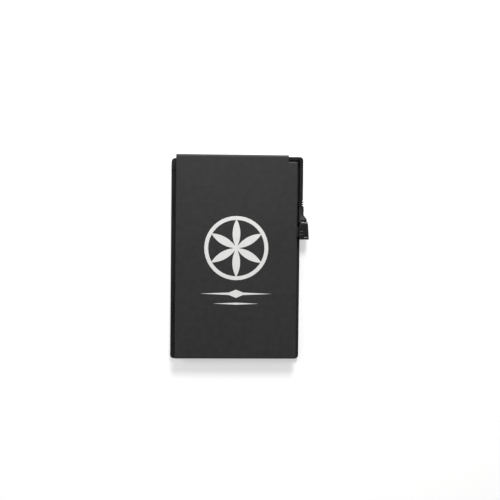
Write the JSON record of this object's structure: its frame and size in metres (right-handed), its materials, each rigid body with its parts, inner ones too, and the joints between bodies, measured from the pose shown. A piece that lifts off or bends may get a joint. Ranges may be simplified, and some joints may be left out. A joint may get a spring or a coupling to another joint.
{
  "type": "stick-on phone card holder",
  "caption": "Slim stick-on card pocket for the back of a phone, carrying a flat power unit with a charging lead that ends in a capped plug clipped to its side.",
  "frame": {"origin": "middle of the adhesive face that sticks to the phone", "axes": "+X right and +Y up as seen on the back of an upright phone, +Z away from the phone"},
  "size_m": [0.0668, 0.0997, 0.011],
  "materials": {
    "pad": "matte",
    "tray": "matte",
    "tape": "matte",
    "housing": "soft matte coating",
    "print": "screen printed ink",
    "lead": "matte",
    "steel": "satin",
    "contact_carrier": "matte",
    "cap": "satin",
    "cell_foil": "satin",
    "foam": "matte",
    "nickel": "satin",
    "board": "satin",
    "chip": "matte",
    "ferrite": "matte",
    "capacitor": "satin",
    "clear_guide": "clear",
    "led": "satin"
  },
  "bodies": {
    "holder": {"adhesive_pad": "pad", "pocket_tray": "tray", "bond_tape": "tape", "rear_shell": "housing", "front_cover": "housing", "print_medallion": "print", "print_rule": "print", "print_line": "print", "charging_lead": "lead", "lead_wire_1": "lead", "lead_wire_2": "lead", "plug_grip": "lead", "plug_sleeve": "steel", "plug_contacts": "contact_carrier", "plug_cap": "cap", "power_cell": "cell_foil", "cell_tape": "foam", "cell_cushion": "foam", "cell_tab_1": "nickel", "cell_tab_2": "nickel", "circuit_board": "board", "charge_chip": "chip", "guard_chip": "chip", "boost_inductor": "ferrite", "input_capacitor": "capacitor", "output_capacitor": "capacitor", "input_socket": "steel", "socket_tongue": "contact_carrier", "light_guide": "clear_guide", "indicator_led_1": "led", "indicator_led_2": "led", "indicator_led_3": "led", "indicator_led_4": "led", "tact_switch": "chip"},
    "button": {"power_button": "cap", "switch_plunger": "cap"}
  },
  "joints": [
    {"name": "button_press", "type": "slide", "parent": "holder", "child": "button", "axis": [0, -1, 0], "range_m": [0, 0.0004], "stiffness_N_per_m": 300}
  ]
}
